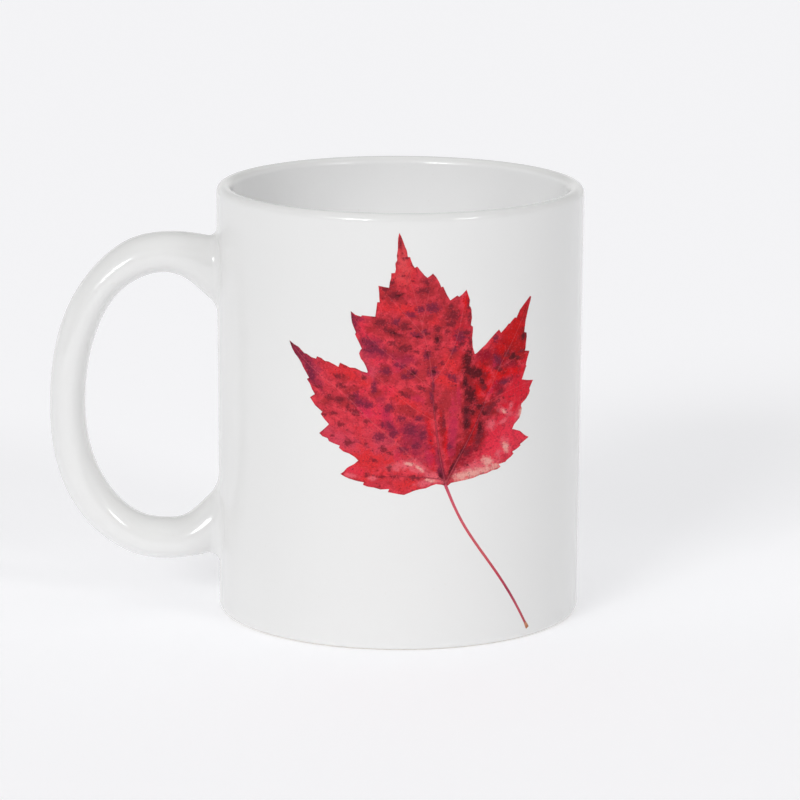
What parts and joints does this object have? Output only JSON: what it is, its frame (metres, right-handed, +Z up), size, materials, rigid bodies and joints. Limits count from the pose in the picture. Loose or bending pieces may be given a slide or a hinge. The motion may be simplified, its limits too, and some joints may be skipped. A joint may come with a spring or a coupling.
{
  "type": "mug",
  "caption": "Straight-sided white glazed ceramic mug with a C-shaped handle and a red maple leaf printed on its side.",
  "frame": {"origin": "middle of the mug's box on the surface it stands on; the body's axis is at x = +18.7 mm", "axes": "+Z up along the body's axis, handle towards -X, printed leaf on the side that faces -Y"},
  "size_m": [0.1194, 0.082, 0.0965],
  "materials": {
    "glaze": "glossy white glaze, with a bare foot ring",
    "leaf_print": "red leaf print under the gloss"
  },
  "bodies": {
    "root": {"mug": "glaze"}
  },
  "joints": []
}
